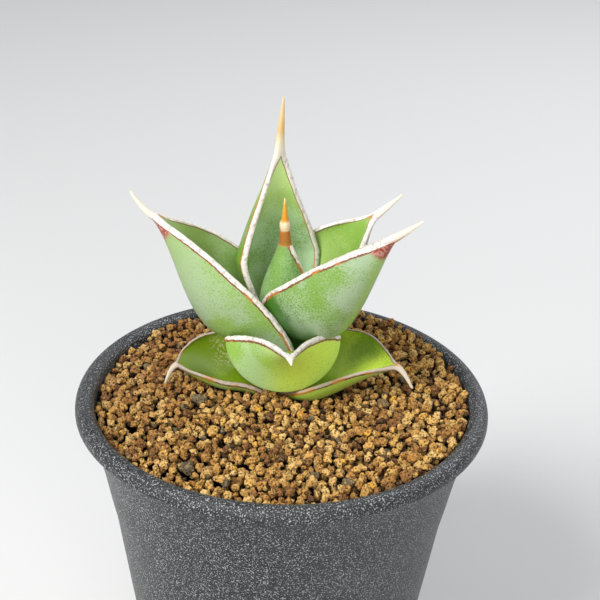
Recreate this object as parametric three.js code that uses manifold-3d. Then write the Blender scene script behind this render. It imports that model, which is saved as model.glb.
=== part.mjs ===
// Potted walking sansevieria: a small rosette of eight stiff, channelled leaves, each ending in a
// spine, on a short rooted stem in a round plastic pot filled with baked clay granules.
// Millimetres, +Z up. The origin is the middle of the circle that the pot's foot stands on.

import * as THREE from 'three';
import { mergeVertices } from 'three/addons/utils/BufferGeometryUtils.js';
import Module from 'manifold-3d';

const wasm = await Module();
wasm.setup();

// Pot
const LIP_Z = 97;
const LIP_RADIUS = 52.35;
const LIP_HALF_WIDTH = 2.65;
const LIP_HALF_HEIGHT = 3;
const LIP_STEP_DROP = 0.7;
const WALL = 2;
const FOOT_RADIUS = 35;
const FOOT_WIDTH = 4.5;
const FOOT_HEIGHT = 3;
const FOOT_CHAMFER = 0.8;
const FLOOR_TOP = 5;
const POT_SIDES = 48;
const DRAIN_RADIUS = 4;
const DRAIN_SIDES = 12;
const DRAIN_RING_RADIUS = 17;
const DRAIN_RING_COUNT = 4;

// The outside of the wall, as radius and drop below the middle of the lip
const WALL_OUTSIDE = [
  [45, 31],
  [46.3, 25],
  [48.3, 15],
  [50.4, 7],
  [52, 2.4],
];

// Clearance that pieces keep where they touch
const GAP = 0.3;

// Soil: the level falls a little towards the left and the front and rises at the back
const SOIL_LEVEL = 0.5;
const SOIL_SLOPE_X = 0.03;
const SOIL_SLOPE_Y = 0.012;
const SOIL_BACK_START = 8;
const SOIL_BACK_LENGTH = 36;
const SOIL_BACK_RISE = 2.2;
const GRANULE_PITCH = 5.2;
const GRANULE_RISE = 1.3;
const GRANULE_SPREAD = 1.1;
const GRANULE_DIP = 0.5;
const GRANULE_SHIFT = 0.45;

// Stem and roots, heights from the middle of the lip
const STEM_X = 1.5;
const STEM_Y = 15;
const STEM_TOP = 8.5;
const STEM_FOOT = -12;
const STEM_TOP_RADIUS = 3.6;
const STEM_RADIUS = 4.6;
const STEM_SIDES = 12;
const ROOT_COUNT = 5;
const ROOT_RADIUS = 1.9;
const ROOT_TIP_RADIUS = 0.7;
const ROOT_REACH = 21;
const ROOT_DROP = 36;
const ROOT_SIDES = 6;
const ROOT_STEPS = 6;

// Leaves
const MARGIN = 1.4;
const MARGIN_CROWN = 0.3;
const CLOSED_MARGIN = 0.25;
const SPINE_TIP_RADIUS = 0.3;
const SPINE_FLATNESS = 0.55;
const SPINE_TAPER = 0.7;
const BLADE_STEPS = 16;
const SPINE_STEPS = 4;
const OUTER_STEPS = 10;
const INNER_STEPS = 6;

// Each leaf, oldest first. base is where it leaves the stem, with its height from the lip.
// azimuth is the side that it grows to and swing how far it turns on its way, in degrees.
// rise is how steeply it climbs at the stem, low on the blade and at its end; sheath is the share
// of the length that clasps the stem. halfWidth and keel are taken at the stem and at the widest
// place, widest is where that is, and shoulder and taper shape the narrowing towards the spine.
// neck is the spine's radius where it starts. channel is the depth of the hollow upper face as a
// share of the keel.
const LEAVES = [
  {
    name: 'leaf_low_right', base: [1, 14.5, -1], azimuth: -23, swing: -12, rise: [60, 39, 2],
    sheath: 0.29, length: 37, spine: 7, neck: 1.1, spinePitch: -45, halfWidth: [11.5, 15.3], keel: [6.5, 8],
    widest: 0.38, shoulder: 1.7, taper: 1.3, roll: 9, channel: 0.6,
  },
  {
    name: 'leaf_low_left', base: [0.5, 14, -1], azimuth: 185, swing: 20, rise: [60, 30, -6],
    sheath: 0.29, length: 32.5, spine: 6.3, neck: 1.0, spinePitch: -51, halfWidth: [12.5, 10.2], keel: [6, 7],
    widest: 0.55, shoulder: 1.9, taper: 0.92, roll: -16.5, channel: 0.6,
  },
  {
    name: 'leaf_front', base: [-1.2, 16, 1.8], azimuth: -85, swing: 0, rise: [80, 63, -3],
    sheath: 0.4, length: 43.5, spine: 2.7, neck: 0.9, spinePitch: -2, halfWidth: [12, 15.4], keel: [8.8, 14.7],
    widest: 0.43, shoulder: 1.2, taper: 1.35, roll: 0, channel: 0.6,
  },
  {
    name: 'leaf_back_right', base: [0.6, 17.6, 5.6], azimuth: 26, swing: -6, rise: [90, 81, 30],
    sheath: 0.3, length: 47, spine: 9.3, neck: 1.35, spinePitch: 3.5, halfWidth: [8, 14.3], keel: [8, 11],
    widest: 0.54, shoulder: 1.6, taper: 1.45, roll: 11, channel: 0.6,
  },
  {
    name: 'leaf_left', base: [4.8, 13.6, 4.2], azimuth: 178.3, swing: 7.7, rise: [90, 61.2, 25.9],
    sheath: 0.48, length: 61.9, spine: 9.1, neck: 1.3, spinePitch: 22.3, halfWidth: [12.8, 12.5],
    keel: [9, 18.6], widest: 0.46, shoulder: 1.92, taper: 1.28, roll: 0, channel: 0.55,
  },
  {
    name: 'leaf_right', base: [-3.9, 16.2, 5.9], azimuth: -44, swing: -12, rise: [108, 43.5, 33],
    sheath: 0.51, length: 74.5, spine: 14, neck: 1.4, spinePitch: 5, halfWidth: [5.5, 10.4],
    keel: [11, 17.9], widest: 0.47, shoulder: 1.4, taper: 1.17, roll: 6, channel: 0.55,
  },
  {
    name: 'leaf_back', base: [1, 16.4, 9.3], azimuth: 114, swing: -13, rise: [90, 59, 91],
    sheath: 0.29, length: 53.5, spine: 16.3, neck: 1.5, spinePitch: 10, halfWidth: [6.2, 12.8], keel: [7, 11.5],
    widest: 0.44, shoulder: 1.2, taper: 1.3, roll: 18, channel: 0.5,
  },
  {
    name: 'leaf_spear', base: [1.8, 15.3, 9], azimuth: -120, swing: 0, rise: [90, 83.5, 80.5],
    sheath: 0.3, length: 33.5, spine: 12.4, neck: 1.6, spinePitch: 4, halfWidth: [4, 8.1], keel: [4, 8.3],
    widest: 0.42, shoulder: 1.55, taper: 1.24, roll: -2, channel: 0.2,
  },
];

const FINISHES = {
  pot: new THREE.MeshStandardMaterial({ color: 0x35373a, roughness: 0.6, metalness: 0 }),
  soil: new THREE.MeshStandardMaterial({ color: 0x9a6f3c, roughness: 0.95, metalness: 0 }),
  rootstock: new THREE.MeshStandardMaterial({ color: 0xb79a6a, roughness: 0.8, metalness: 0 }),
  leaf: new THREE.MeshStandardMaterial({ color: 0x86a874, roughness: 0.55, metalness: 0 }),
};

const clamp01 = (value) => Math.min(1, Math.max(0, value));
const smooth = (value) => value * value * (3 - 2 * value);
const mix = (from, to, share) => from + (to - from) * share;

// A repeatable draw between 0 and 1 for a place on a grid
function draw(column, row, kind) {
  const mixed = Math.sin(column * 127.1 + row * 311.7 + kind * 74.7) * 43758.5453;
  return mixed - Math.floor(mixed);
}

// Booleans
function toSolid(geometry) {
  const bare = geometry.clone();
  bare.deleteAttribute('normal');
  bare.deleteAttribute('uv');
  const merged = mergeVertices(bare, 1e-4);
  const mesh = new wasm.Mesh({
    numProp: 3,
    vertProperties: new Float32Array(merged.attributes.position.array),
    triVerts: new Uint32Array(merged.index.array),
  });
  return new wasm.Manifold(mesh);
}

function toGeometry(solid) {
  const mesh = solid.getMesh();
  const geometry = new THREE.BufferGeometry();
  geometry.setAttribute('position', new THREE.BufferAttribute(mesh.vertProperties, 3));
  geometry.setIndex(new THREE.BufferAttribute(mesh.triVerts, 1));
  geometry.computeVertexNormals();
  return geometry;
}

function largestBody(solid) {
  const bodies = solid.decompose();
  return bodies.reduce((best, body) => (body.volume() > best.volume() ? body : best));
}

// Triangles that fill a flat ring, facing the way its points turn anticlockwise
function capFaces(ring) {
  const normal = new THREE.Vector3();
  ring.forEach((point, i) => {
    normal.add(new THREE.Vector3().crossVectors(point, ring[(i + 1) % ring.length]));
  });
  const start = ring[0];
  const across = ring[Math.floor(ring.length / 2)].clone().sub(start).normalize();
  const up = new THREE.Vector3().crossVectors(normal.normalize(), across);
  const contour = ring.map((point) => {
    const offset = point.clone().sub(start);
    return new THREE.Vector2(offset.dot(across), offset.dot(up));
  });
  return THREE.ShapeUtils.triangulateShape(contour, []);
}

// A closed skin over rings of equal count, each ring anticlockwise seen from the last one
function skinRings(rings) {
  const count = rings[0].length;
  const top = (rings.length - 1) * count;
  const positions = rings.flat().flatMap((point) => [point.x, point.y, point.z]);
  const faces = [];
  for (let low = 0; low < top; low += count) {
    const high = low + count;
    for (let i = 0; i < count; i += 1) {
      const j = (i + 1) % count;
      faces.push(low + i, low + j, high + j, low + i, high + j, high + i);
    }
  }
  capFaces(rings[0]).forEach(([a, b, c]) => faces.push(a, c, b));
  capFaces(rings[rings.length - 1]).forEach(([a, b, c]) => faces.push(top + a, top + b, top + c));
  const geometry = new THREE.BufferGeometry();
  geometry.setAttribute('position', new THREE.Float32BufferAttribute(positions, 3));
  geometry.setIndex(faces);
  return geometry;
}

function lathe(outline, sides) {
  const points = outline.map(([radius, height]) => new THREE.Vector2(radius, height));
  return new THREE.LatheGeometry(points, sides).rotateX(Math.PI / 2);
}

// Pot: a wall that flares to a half-round lip, a ring foot and a floor with drain holes
function insideWall(extra) {
  const rows = WALL_OUTSIDE.map(([radius, drop]) => [radius - WALL - extra, LIP_Z - drop]);
  const lowest = rows[0];
  const slope = (rows[0][0] - (FOOT_RADIUS - WALL - extra)) / rows[0][1];
  const floor = FLOOR_TOP + extra;
  return [[lowest[0] - slope * (lowest[1] - floor), floor], ...rows];
}

function potSolid() {
  const outside = [
    [FOOT_RADIUS - FOOT_WIDTH, 0],
    [FOOT_RADIUS - FOOT_CHAMFER, 0],
    [FOOT_RADIUS, FOOT_CHAMFER],
    ...WALL_OUTSIDE.map(([radius, drop]) => [radius, LIP_Z - drop]),
    [LIP_RADIUS + LIP_HALF_WIDTH, LIP_Z - LIP_STEP_DROP],
  ];
  const lip = [];
  for (let angle = 10; angle <= 150; angle += 28) {
    const turn = THREE.MathUtils.degToRad(angle);
    lip.push([LIP_RADIUS + LIP_HALF_WIDTH * Math.cos(turn), LIP_Z + LIP_HALF_HEIGHT * Math.sin(turn)]);
  }
  const inside = insideWall(0).reverse();
  const under = [
    [0, FLOOR_TOP],
    [0, FOOT_HEIGHT],
    [FOOT_RADIUS - FOOT_WIDTH, FOOT_HEIGHT],
    [FOOT_RADIUS - FOOT_WIDTH, 0],
  ];
  let pot = toSolid(lathe([...outside, ...lip, ...inside, ...under], POT_SIDES));
  const drain = new THREE.CylinderGeometry(DRAIN_RADIUS, DRAIN_RADIUS, FLOOR_TOP * 3, DRAIN_SIDES);
  drain.rotateX(Math.PI / 2);
  pot = pot.subtract(toSolid(drain));
  for (let i = 0; i < DRAIN_RING_COUNT; i += 1) {
    const turn = (i + 0.5) * 2 * Math.PI / DRAIN_RING_COUNT;
    const hole = drain.clone();
    hole.translate(DRAIN_RING_RADIUS * Math.cos(turn), DRAIN_RING_RADIUS * Math.sin(turn), 0);
    pot = pot.subtract(toSolid(hole));
  }
  return pot;
}

// Stem and roots: one grown piece, with fat roots that arch out and down
function tube(route, radii, sides) {
  const rings = route.map((point, k) => {
    const ahead = route[Math.min(k + 1, route.length - 1)];
    const along = ahead.clone().sub(route[Math.max(k - 1, 0)]).normalize();
    const side = new THREE.Vector3(-along.y, along.x, 0).normalize();
    const over = new THREE.Vector3().crossVectors(along, side);
    return Array.from({ length: sides }, (_, i) => {
      const turn = 2 * Math.PI * i / sides;
      return point.clone()
        .addScaledVector(side, radii[k] * Math.cos(turn))
        .addScaledVector(over, radii[k] * Math.sin(turn));
    });
  });
  return skinRings(rings);
}

function rootstockSolid(grow) {
  const outline = [
    [0, LIP_Z + STEM_FOOT - grow],
    [STEM_RADIUS * 0.6 + grow, LIP_Z + STEM_FOOT - grow],
    [STEM_RADIUS + grow, LIP_Z + STEM_FOOT + 4],
    [STEM_RADIUS + grow, LIP_Z],
    [STEM_TOP_RADIUS + grow, LIP_Z + STEM_TOP + grow],
    [0, LIP_Z + STEM_TOP + grow],
  ];
  let solid = toSolid(lathe(outline, STEM_SIDES).translate(STEM_X, STEM_Y, 0));
  for (let i = 0; i < ROOT_COUNT; i += 1) {
    const turn = (i + 0.3 * draw(i, 1, 1)) * 2 * Math.PI / ROOT_COUNT;
    const reach = ROOT_REACH * mix(0.75, 1, draw(i, 2, 1));
    const route = [];
    const radii = [];
    for (let k = 0; k <= ROOT_STEPS; k += 1) {
      const share = k / ROOT_STEPS;
      const out = 1 + reach * Math.sin(share * Math.PI / 2);
      const drop = STEM_FOOT + 6 - ROOT_DROP * share * share - 6 * share;
      route.push(new THREE.Vector3(
        STEM_X + out * Math.cos(turn),
        STEM_Y + out * Math.sin(turn),
        LIP_Z + drop,
      ));
      radii.push(mix(ROOT_RADIUS, ROOT_TIP_RADIUS, share) + grow);
    }
    solid = solid.add(toSolid(tube(route, radii, ROOT_SIDES)));
  }
  return solid;
}

// Leaf: crescent sections along a bent middle line that lies level with the two margins
function bladeLine(leaf) {
  const [foot, low, end] = leaf.rise;
  const step = leaf.length / BLADE_STEPS;
  const middle = new THREE.Vector3(leaf.base[0], leaf.base[1], LIP_Z + leaf.base[2]);
  const stations = [];
  for (let k = 0; k <= BLADE_STEPS; k += 1) {
    const share = k / BLADE_STEPS;
    const clasp = clamp01(1 - share / leaf.sheath);
    const climb = THREE.MathUtils.degToRad(low + (end - low) * share + (foot - low) * clasp * clasp);
    const turn = THREE.MathUtils.degToRad(leaf.azimuth + leaf.swing * share);
    const along = direction(climb, turn);
    if (k > 0) {
      const before = stations[k - 1].along;
      middle.addScaledVector(before, step / 2).addScaledVector(along, step / 2);
    }
    stations.push({ share, middle: middle.clone(), along, ...sideAndFace(along, turn, leaf.roll) });
  }
  return stations;
}

function direction(climb, turn) {
  const level = Math.cos(climb);
  return new THREE.Vector3(level * Math.cos(turn), level * Math.sin(turn), Math.sin(climb));
}

function sideAndFace(along, turn, roll) {
  const side = new THREE.Vector3(-Math.sin(turn), Math.cos(turn), 0);
  const face = new THREE.Vector3().crossVectors(along, side);
  const tilt = THREE.MathUtils.degToRad(roll);
  const rolledSide = side.clone().multiplyScalar(Math.cos(tilt)).addScaledVector(face, Math.sin(tilt));
  const rolledFace = face.multiplyScalar(Math.cos(tilt)).addScaledVector(side, -Math.sin(tilt));
  return { side: rolledSide, face: rolledFace };
}

// Half width or keel depth along the blade, down to the radius of the spine's neck
function swell(leaf, atFoot, atWidest, share) {
  if (share < leaf.widest) {
    return mix(atFoot, atWidest, smooth(share / leaf.widest));
  }
  const rest = (share - leaf.widest) / (1 - leaf.widest);
  return leaf.neck + (atWidest - leaf.neck) * (1 - rest ** leaf.shoulder) ** leaf.taper;
}

function crescent(station, halfWidth, keel, hollow, margin, grow) {
  const place = (across, up) => station.middle.clone()
    .addScaledVector(station.side, across)
    .addScaledVector(station.face, up);
  const points = [];
  for (let i = 0; i <= OUTER_STEPS; i += 1) {
    const turn = Math.PI * (i / OUTER_STEPS - 0.5);
    points.push(place((halfWidth + grow) * Math.sin(turn), -(keel + grow) * Math.cos(turn)));
  }
  const inner = halfWidth - margin;
  for (let i = 0; i <= INNER_STEPS; i += 1) {
    const turn = Math.PI * (0.5 - i / INNER_STEPS);
    points.push(place(inner * Math.sin(turn), MARGIN_CROWN + grow - hollow * Math.cos(turn)));
  }
  return points;
}

function leafSolid(leaf, grow) {
  const stations = bladeLine(leaf);
  stations[0].middle.addScaledVector(stations[0].along, -grow);
  const rings = stations.map((station) => {
    const halfWidth = swell(leaf, leaf.halfWidth[0], leaf.halfWidth[1], station.share);
    const keel = swell(leaf, leaf.keel[0], leaf.keel[1], station.share);
    const closing = clamp01((station.share - 0.5) / 0.5) ** 3;
    const crown = MARGIN_CROWN - SPINE_FLATNESS * leaf.neck;
    const hollow = mix(leaf.channel * keel, crown, closing);
    return crescent(station, halfWidth, keel, hollow, mix(MARGIN, CLOSED_MARGIN, closing), grow);
  });
  const last = stations[stations.length - 1];
  const [, , end] = leaf.rise;
  const climb = THREE.MathUtils.degToRad(end + leaf.spinePitch);
  const turn = THREE.MathUtils.degToRad(leaf.azimuth + leaf.swing);
  const point = last.middle.clone().addScaledVector(direction(climb, turn), leaf.spine + grow);
  const bow = last.middle.clone().addScaledVector(last.along, leaf.spine * 0.3);
  const spine = new THREE.QuadraticBezierCurve3(last.middle, bow, point);
  for (let k = 1; k <= SPINE_STEPS; k += 1) {
    const share = k / SPINE_STEPS;
    const along = spine.getTangent(share);
    const side = last.side.clone().addScaledVector(along, -last.side.dot(along)).normalize();
    const face = new THREE.Vector3().crossVectors(along, side);
    const radius = mix(SPINE_TIP_RADIUS, leaf.neck, (1 - share) ** SPINE_TAPER);
    const hollow = MARGIN_CROWN - radius * mix(SPINE_FLATNESS, 1, share);
    const station = { middle: spine.getPoint(share), side, face };
    rings.push(crescent(station, radius, radius, hollow, CLOSED_MARGIN * radius / leaf.neck, grow));
  }
  return toSolid(skinRings(rings));
}

// Soil: a plug that fills the pot, its top raised into rounded granules by a rule
function soilHeight(x, y) {
  const back = smooth(clamp01((y - SOIL_BACK_START) / SOIL_BACK_LENGTH));
  const slope = SOIL_SLOPE_X * x + SOIL_SLOPE_Y * y;
  return LIP_Z + SOIL_LEVEL + slope + SOIL_BACK_RISE * back;
}

function soilTop() {
  const step = GRANULE_PITCH / 2;
  const rowStep = step * Math.sqrt(3) / 2;
  const reach = Math.ceil((LIP_RADIUS + GRANULE_PITCH) / rowStep);
  const rows = [];
  for (let row = -reach; row <= reach; row += 1) {
    const shifted = row % 2 !== 0;
    const points = [];
    for (let column = -reach; column <= reach; column += 1) {
      let x = (column + (shifted ? 0.5 : 0)) * step;
      let y = row * rowStep;
      const crown = !shifted && (column + row / 2) % 2 === 0;
      let height = soilHeight(x, y) - GRANULE_DIP * draw(column, row, 2);
      if (crown) {
        height += GRANULE_RISE + GRANULE_SPREAD * draw(column, row, 3);
        x += GRANULE_SHIFT * (2 * draw(column, row, 4) - 1);
        y += GRANULE_SHIFT * (2 * draw(column, row, 5) - 1);
      }
      points.push(new THREE.Vector3(x, y, height));
    }
    rows.push({ shifted, points });
  }
  return rows;
}

function granuleSlab() {
  const rows = soilTop();
  const across = rows[0].points.length;
  const count = rows.length * across;
  const top = rows.flatMap((row) => row.points);
  const positions = top.flatMap((point) => [point.x, point.y, point.z]);
  top.forEach((point) => positions.push(point.x, point.y, 0));
  const faces = [];
  const addTriangle = (a, b, c) => faces.push(a, b, c, a + count, c + count, b + count);
  for (let row = 0; row + 1 < rows.length; row += 1) {
    for (let column = 0; column + 1 < across; column += 1) {
      const a = row * across + column;
      const b = a + 1;
      const c = a + across;
      const d = c + 1;
      if (rows[row].shifted) {
        addTriangle(a, b, d);
        addTriangle(a, d, c);
      } else {
        addTriangle(a, b, c);
        addTriangle(b, d, c);
      }
    }
  }
  const wall = (a, b) => faces.push(a, a + count, b + count, a, b + count, b);
  for (let column = 0; column + 1 < across; column += 1) {
    wall(column, column + 1);
    wall(count - 1 - column, count - 2 - column);
  }
  for (let row = 0; row + 1 < rows.length; row += 1) {
    wall((row + 1) * across, row * across);
    wall((row + 1) * across - 1, (row + 2) * across - 1);
  }
  const geometry = new THREE.BufferGeometry();
  geometry.setAttribute('position', new THREE.Float32BufferAttribute(positions, 3));
  geometry.setIndex(faces);
  return geometry;
}

function soilSolid(holes) {
  const inside = insideWall(GAP);
  const [brim] = inside.slice(-1);
  const outline = [[0, inside[0][1]], ...inside, [brim[0], LIP_Z + 8], [0, LIP_Z + 8]];
  const plug = toSolid(lathe(outline, POT_SIDES));
  let soil = plug.intersect(toSolid(granuleSlab()));
  holes.forEach((hole) => {
    soil = soil.subtract(hole);
  });
  return largestBody(soil);
}

function addPiece(name, solid, finish) {
  const piece = new THREE.Mesh(toGeometry(solid), finish);
  piece.name = name;
  plant.add(piece);
}

const plant = new THREE.Group();
const rootHole = rootstockSolid(GAP);
const grownLeaves = LEAVES.map((leaf) => leafSolid(leaf, GAP));

addPiece('pot', potSolid(), FINISHES.pot);
addPiece('soil', soilSolid([rootHole, ...grownLeaves]), FINISHES.soil);
addPiece('rootstock', rootstockSolid(0), FINISHES.rootstock);
LEAVES.forEach((leaf, k) => {
  let solid = leafSolid(leaf, 0).subtract(rootHole);
  grownLeaves.slice(k + 1).forEach((younger) => {
    solid = solid.subtract(younger);
  });
  addPiece(leaf.name, largestBody(solid), FINISHES.leaf);
});

export default plant;
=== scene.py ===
# %% [markdown]
# # A potted walking sansevieria
#
# This lesson dresses one small plant: eight stiff, channelled leaves with white margins and horny
# spines, on baked clay granules, in a charcoal plastic pot. The construction comes in as a packed
# frame of plain solids. Each of them but the stem is replaced here by a finer mesh of the same
# form, and each gets a finish made of shader nodes.

# %% Load the frame
import math

import bmesh
import bpy
import numpy as np
from mathutils import Matrix, Vector, noise
from mathutils.bvhtree import BVHTree
from mathutils.kdtree import KDTree


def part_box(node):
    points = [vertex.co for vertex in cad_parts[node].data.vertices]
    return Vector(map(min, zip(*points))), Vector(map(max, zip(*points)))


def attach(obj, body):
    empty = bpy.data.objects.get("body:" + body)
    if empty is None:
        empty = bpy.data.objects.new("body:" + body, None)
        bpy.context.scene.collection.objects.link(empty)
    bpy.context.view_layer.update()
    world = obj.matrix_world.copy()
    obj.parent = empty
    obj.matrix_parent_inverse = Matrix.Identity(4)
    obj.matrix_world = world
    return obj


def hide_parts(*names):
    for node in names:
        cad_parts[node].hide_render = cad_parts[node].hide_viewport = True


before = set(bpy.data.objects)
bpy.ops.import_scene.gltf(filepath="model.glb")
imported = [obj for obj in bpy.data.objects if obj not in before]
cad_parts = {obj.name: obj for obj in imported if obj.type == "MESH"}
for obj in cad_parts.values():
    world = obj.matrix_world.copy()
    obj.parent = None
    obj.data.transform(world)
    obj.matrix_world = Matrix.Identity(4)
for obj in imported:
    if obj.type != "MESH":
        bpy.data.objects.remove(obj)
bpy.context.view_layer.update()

print("pieces in the frame:", ", ".join(sorted(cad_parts)))

# %% Units and the height of the lip
MM = 0.001
pot_high = np.array(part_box("pot")[1]) / MM
LIP_HALF_HEIGHT = 3.0
LIP_Z = pot_high[2] - LIP_HALF_HEIGHT
print("lip: radius", round(pot_high[0], 2), "mm, middle at height", round(LIP_Z, 2), "mm")

# %% [markdown]
# ## The camera
#
# The photograph looks down on the pot at about thirty degrees from 400 mm away, and turns a
# little so that the pot sits low in the picture. The rim's ellipses gave these angles. The camera
# is turned rather than shifted, so other views of the scene stay centred.

# %% Camera measures
CAMERA_DISTANCE = 400.0
CAMERA_HEIGHT_ANGLE = 31.5
CAMERA_TILT_UP = 3.9
CAMERA_TURN = 0.64
CAMERA_ROLL = 2.07
FOCAL_PIXELS = 1488.0
PICTURE_PIXELS = 600.0
SENSOR = 36.0
NEAREST = 0.01
print("field of view:", round(2 * math.degrees(math.atan(PICTURE_PIXELS / 2 / FOCAL_PIXELS)), 1), "degrees")


# %% Aim the camera
def aim_camera():
    """Puts the camera on its ray from the middle of the lip and turns it."""
    height, tilt, turn, roll = np.radians(
        [CAMERA_HEIGHT_ANGLE, CAMERA_TILT_UP, CAMERA_TURN, CAMERA_ROLL]
    )
    eye = np.array([0, -math.cos(height), math.sin(height)]) * CAMERA_DISTANCE
    fall = height - tilt
    forward = Vector((math.sin(turn) * math.cos(fall), math.cos(turn) * math.cos(fall), -math.sin(fall)))
    right = Vector((math.cos(turn), -math.sin(turn), 0))
    up = right.cross(forward)
    rolled_right = right * math.cos(roll) + up * math.sin(roll)
    rolled_up = up * math.cos(roll) - right * math.sin(roll)
    data = bpy.data.cameras.new("camera")
    data.sensor_width = SENSOR
    data.lens = FOCAL_PIXELS / PICTURE_PIXELS * SENSOR
    data.clip_start = NEAREST
    camera = bpy.data.objects.new("camera", data)
    bpy.context.collection.objects.link(camera)
    turned = Matrix((rolled_right, rolled_up, -forward)).transposed().to_4x4()
    camera.matrix_world = Matrix.Translation(Vector(eye + [0, 0, LIP_Z]) * MM) @ turned
    bpy.context.scene.camera = camera
    return camera


camera = aim_camera()
print("camera: lens", round(camera.data.lens, 1), "mm at", [round(v, 3) for v in camera.location])

# %% [markdown]
# ## Floor and light
#
# A plain pale floor and soft studio light. The real picture is lit from the left and the front by
# a large soft source: the pot is bright on its left side and the leaves cast only faint shadows.

# %% Floor
FLOOR_SIZE = 4.0
FLOOR_COLOR = (0.62, 0.62, 0.61)
FLOOR_ROUGHNESS = 0.9


def plain_material(name, color, roughness):
    material = bpy.data.materials.new(name)
    material.use_nodes = True
    shader = material.node_tree.nodes["Principled BSDF"]
    shader.inputs["Base Color"].default_value = (*color, 1)
    shader.inputs["Roughness"].default_value = roughness
    return material


def lay_floor():
    mesh = bpy.data.meshes.new("floor")
    half = FLOOR_SIZE / 2
    corners = [(-half, -half, 0), (half, -half, 0), (half, half, 0), (-half, half, 0)]
    mesh.from_pydata(corners, [], [(0, 1, 2, 3)])
    floor = bpy.data.objects.new("floor", mesh)
    bpy.context.collection.objects.link(floor)
    mesh.materials.append(plain_material("floor", FLOOR_COLOR, FLOOR_ROUGHNESS))
    return floor


floor = lay_floor()
print("floor:", FLOOR_SIZE, "m square")

# %% Lamps
LIGHTS = [
    # name, place in metres from the lip's middle, side of the square lamp, watts, colour
    ("key", (-0.55, -0.5, 0.75), 0.4, 12.5, (1.0, 0.985, 0.96)),
    ("front", (0.15, -0.9, 0.35), 0.6, 4.0, (1.0, 0.99, 0.97)),
    ("back", (0.45, 0.55, 0.6), 0.5, 4.0, (0.95, 0.98, 1.0)),
]


def hang_lights():
    target = Vector((0, 0, LIP_Z * MM))
    for name, place, size, watts, color in LIGHTS:
        data = bpy.data.lights.new(name, "AREA")
        data.size = size
        data.energy = watts
        data.color = color
        lamp = bpy.data.objects.new(name, data)
        lamp.location = target + Vector(place)
        lamp.rotation_mode = "QUATERNION"
        lamp.rotation_quaternion = (target - lamp.location).to_track_quat("-Z", "Y")
        bpy.context.collection.objects.link(lamp)


hang_lights()
print("lamps:", {name: watts for name, _, _, watts, _ in LIGHTS})

# %% Light of the room
SKY_COLOR = (0.9, 0.93, 1.0, 1)
SKY_STRENGTH = 0.46


def light_the_room():
    world = bpy.data.worlds.new("room")
    world.use_nodes = True
    sky = world.node_tree.nodes["Background"]
    sky.inputs["Color"].default_value = SKY_COLOR
    sky.inputs["Strength"].default_value = SKY_STRENGTH
    bpy.context.scene.world = world
    bpy.context.scene.view_settings.view_transform = "Standard"


light_the_room()
print("room light:", SKY_STRENGTH)

# %% [markdown]
# ## A small language for shaders
#
# Node graphs are easier to read as sums than as boxes. A Wire holds one output socket, and the
# usual operators on it add Math nodes. Paint holds one material's tree, and its node method makes
# every other node: the type, the settings that must be set first, then the sockets.


# %% A wire between nodes
class Wire:
    def __init__(self, paint, socket):
        self.paint = paint
        self.socket = socket

    def math(self, operation, *others):
        values = dict(enumerate((self, *others)))
        return self.paint.node("ShaderNodeMath", {"operation": operation}, values)[0]

    def __add__(self, other):
        return self.math("ADD", other)

    def __radd__(self, other):
        return self.math("ADD", other)

    def __sub__(self, other):
        return self.math("SUBTRACT", other)

    def __rsub__(self, other):
        return self.math("MULTIPLY_ADD", -1.0, other)

    def __mul__(self, other):
        return self.math("MULTIPLY", other)

    def __rmul__(self, other):
        return self.math("MULTIPLY", other)

    def most(self, other):
        return self.math("MAXIMUM", other)

    def size(self):
        return self.math("ABSOLUTE")

    def step(self, low, high):
        """0 below low, 1 above high, and a smooth rise between."""
        settings = {"interpolation_type": "SMOOTHSTEP"}
        sockets = {"Value": self, "From Min": low, "From Max": high}
        return self.paint.node("ShaderNodeMapRange", settings, sockets)[0]


print("besides + - *, a wire knows:", [name for name in vars(Wire) if name.isalpha()])


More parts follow.
